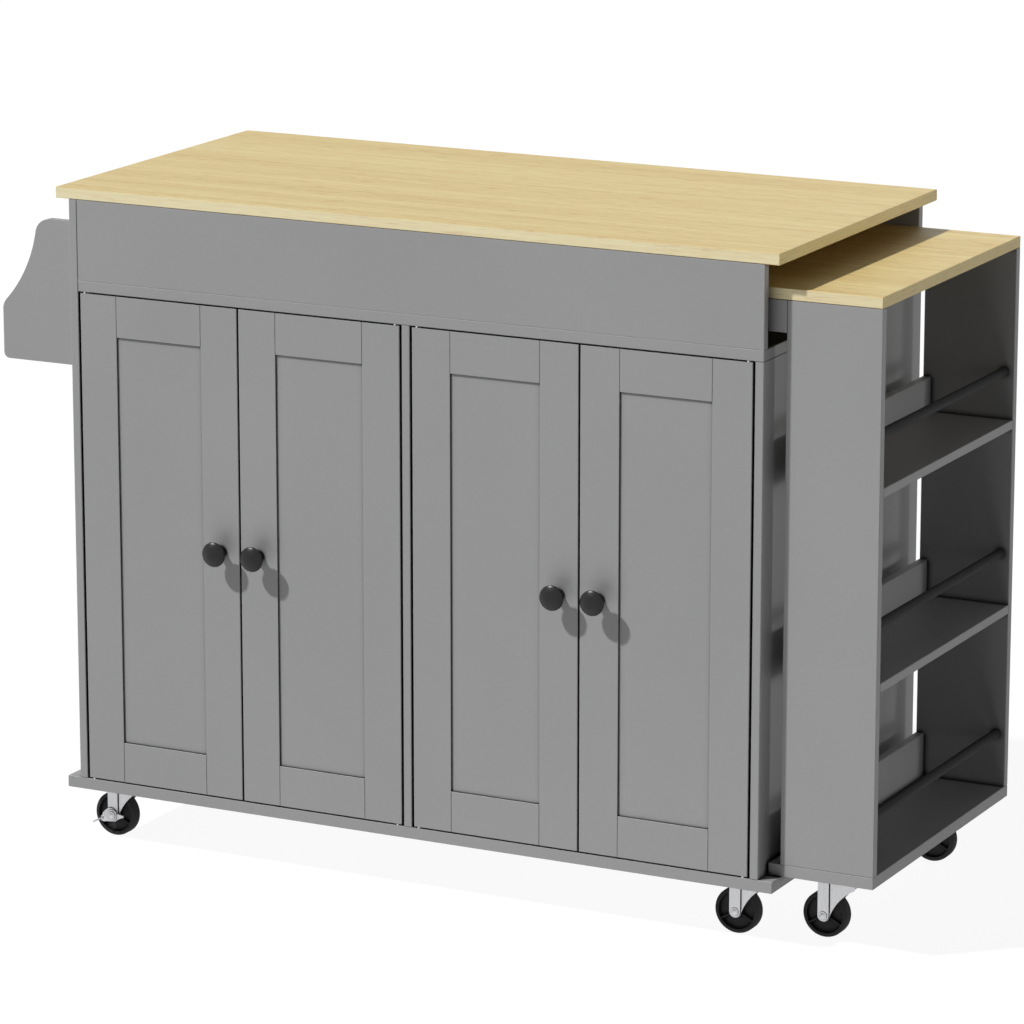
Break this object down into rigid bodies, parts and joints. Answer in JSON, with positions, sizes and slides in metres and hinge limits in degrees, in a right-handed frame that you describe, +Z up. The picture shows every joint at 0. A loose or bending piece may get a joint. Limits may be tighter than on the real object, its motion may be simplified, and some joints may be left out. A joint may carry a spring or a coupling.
{
  "type": "kitchen island",
  "caption": "Rolling kitchen island: panelled-door cabinet with wood worktop, spice shelf, sliding worktop extension on an open rack, locking casters.",
  "frame": {"origin": "on the floor, under the centre of the overall box", "axes": "+Z up, the doors face -Y, the extension slides out along +X"},
  "size_m": [1.29, 0.543, 0.915],
  "materials": {
    "grey_board": "satin grey paint on board",
    "wood_top": "clear satin lacquer on jointed hardwood strips",
    "knob_black": "satin black",
    "rod_dark": "satin dark grey enamel",
    "wheel_black": "moulded satin black",
    "zinc_steel": "bright zinc plate",
    "white_nylon": "moulded"
  },
  "bodies": {
    "cabinet": {"main_top": "wood_top", "front_fascia": "grey_board", "rear_fascia": "grey_board", "left_side_panel": "grey_board", "right_side_panel": "grey_board", "centre_partition": "grey_board", "deck_panel": "grey_board", "base_panel": "grey_board", "back_panel": "grey_board", "inner_shelves": "grey_board", "shelf_pins": "zinc_steel", "hinge_pins": "white_nylon", "door_catches": "white_nylon", "slide_channels": "zinc_steel", "spice_bracket_front": "grey_board", "spice_bracket_rear": "grey_board", "spice_shelf": "grey_board", "spice_rod": "rod_dark", "caster_plates": "zinc_steel"},
    "slide_middle": {"slide_carriers": "zinc_steel"},
    "extension": {"extension_top": "wood_top", "apron_front": "grey_board", "apron_rear": "grey_board", "apron_end": "grey_board", "slide_rails": "zinc_steel", "rack_panel_front": "grey_board", "rack_panel_rear": "grey_board", "rack_base": "grey_board", "rack_shelf_lower": "grey_board", "rack_shelf_upper": "grey_board", "rack_back_rails": "grey_board", "rack_rods": "rod_dark", "rack_caster_plates": "zinc_steel"},
    "door_1": {"door_1_frame": "grey_board", "door_1_panel": "grey_board", "door_1_knob": "knob_black"},
    "door_2": {"door_2_frame": "grey_board", "door_2_panel": "grey_board", "door_2_knob": "knob_black"},
    "door_3": {"door_3_frame": "grey_board", "door_3_panel": "grey_board", "door_3_knob": "knob_black"},
    "door_4": {"door_4_frame": "grey_board", "door_4_panel": "grey_board", "door_4_knob": "knob_black"},
    "caster_front_left": {"fork_front_left": "zinc_steel"},
    "wheel_front_left": {"wheel_front_left": "wheel_black"},
    "caster_front_right": {"fork_front_right": "zinc_steel"},
    "wheel_front_right": {"wheel_front_right": "wheel_black"},
    "caster_rear_left": {"fork_rear_left": "zinc_steel"},
    "wheel_rear_left": {"wheel_rear_left": "wheel_black"},
    "caster_rear_right": {"fork_rear_right": "zinc_steel"},
    "wheel_rear_right": {"wheel_rear_right": "wheel_black"},
    "caster_rack_front": {"fork_rack_front": "zinc_steel"},
    "wheel_rack_front": {"wheel_rack_front": "wheel_black"},
    "caster_rack_rear": {"fork_rack_rear": "zinc_steel"},
    "wheel_rack_rear": {"wheel_rack_rear": "wheel_black"},
    "brake_front_left": {"brake_front_left": "zinc_steel"},
    "brake_rear_left": {"brake_rear_left": "zinc_steel"}
  },
  "joints": [
    {"name": "extension_slide", "type": "slide", "parent": "cabinet", "child": "extension", "axis": [1, 0, 0], "range_m": [0, 0.45]},
    {"name": "slide_middle_travel", "type": "slide", "parent": "cabinet", "child": "slide_middle", "axis": [1, 0, 0], "range_m": [0, 0.225]},
    {"name": "door_1_hinge", "type": "hinge", "parent": "cabinet", "child": "door_1", "pos_m": [-0.503, -0.236, 0.4345], "axis": [0, 0, -1], "range_deg": [0, 103]},
    {"name": "door_2_hinge", "type": "hinge", "parent": "cabinet", "child": "door_2", "pos_m": [-0.031, -0.236, 0.4345], "axis": [0, 0, 1], "range_deg": [0, 83]},
    {"name": "door_3_hinge", "type": "hinge", "parent": "cabinet", "child": "door_3", "pos_m": [0.001, -0.236, 0.4345], "axis": [0, 0, -1], "range_deg": [0, 83]},
    {"name": "door_4_hinge", "type": "hinge", "parent": "cabinet", "child": "door_4", "pos_m": [0.473, -0.236, 0.4345], "axis": [0, 0, 1], "range_deg": [0, 103]},
    {"name": "caster_front_left_swivel", "type": "hinge", "parent": "cabinet", "child": "caster_front_left", "pos_m": [-0.487, -0.1855, 0.072], "axis": [0, 0, 1], "continuous": true},
    {"name": "wheel_front_left_spin", "type": "hinge", "parent": "caster_front_left", "child": "wheel_front_left", "pos_m": [-0.501, -0.1855, 0.031], "axis": [0, 1, 0], "continuous": true},
    {"name": "caster_front_right_swivel", "type": "hinge", "parent": "cabinet", "child": "caster_front_right", "pos_m": [0.457, -0.1855, 0.072], "axis": [0, 0, 1], "continuous": true},
    {"name": "wheel_front_right_spin", "type": "hinge", "parent": "caster_front_right", "child": "wheel_front_right", "pos_m": [0.443, -0.1855, 0.031], "axis": [0, 1, 0], "continuous": true},
    {"name": "caster_rear_left_swivel", "type": "hinge", "parent": "cabinet", "child": "caster_rear_left", "pos_m": [-0.487, 0.2135, 0.072], "axis": [0, 0, 1], "continuous": true},
    {"name": "wheel_rear_left_spin", "type": "hinge", "parent": "caster_rear_left", "child": "wheel_rear_left", "pos_m": [-0.501, 0.2135, 0.031], "axis": [0, 1, 0], "continuous": true},
    {"name": "caster_rear_right_swivel", "type": "hinge", "parent": "cabinet", "child": "caster_rear_right", "pos_m": [0.457, 0.2135, 0.072], "axis": [0, 0, 1], "continuous": true},
    {"name": "wheel_rear_right_spin", "type": "hinge", "parent": "caster_rear_right", "child": "wheel_rear_right", "pos_m": [0.443, 0.2135, 0.031], "axis": [0, 1, 0], "continuous": true},
    {"name": "caster_rack_front_swivel", "type": "hinge", "parent": "extension", "child": "caster_rack_front", "pos_m": [0.566, -0.1485, 0.072], "axis": [0, 0, 1], "continuous": true},
    {"name": "wheel_rack_front_spin", "type": "hinge", "parent": "caster_rack_front", "child": "wheel_rack_front", "pos_m": [0.552, -0.1485, 0.031], "axis": [0, 1, 0], "continuous": true},
    {"name": "caster_rack_rear_swivel", "type": "hinge", "parent": "extension", "child": "caster_rack_rear", "pos_m": [0.566, 0.2165, 0.072], "axis": [0, 0, 1], "continuous": true},
    {"name": "wheel_rack_rear_spin", "type": "hinge", "parent": "caster_rack_rear", "child": "wheel_rack_rear", "pos_m": [0.552, 0.2165, 0.031], "axis": [0, 1, 0], "continuous": true},
    {"name": "brake_front_left_pedal", "type": "hinge", "parent": "caster_front_left", "child": "brake_front_left", "pos_m": [-0.501, -0.2018, 0.031], "axis": [0, 1, 0], "range_deg": [0, 20]},
    {"name": "brake_rear_left_pedal", "type": "hinge", "parent": "caster_rear_left", "child": "brake_rear_left", "pos_m": [-0.501, 0.2298, 0.031], "axis": [0, 1, 0], "range_deg": [0, 20]}
  ],
  "couplings": [
    {"joint": "slide_middle_travel", "follows": "extension_slide", "ratio": 0.5}
  ]
}
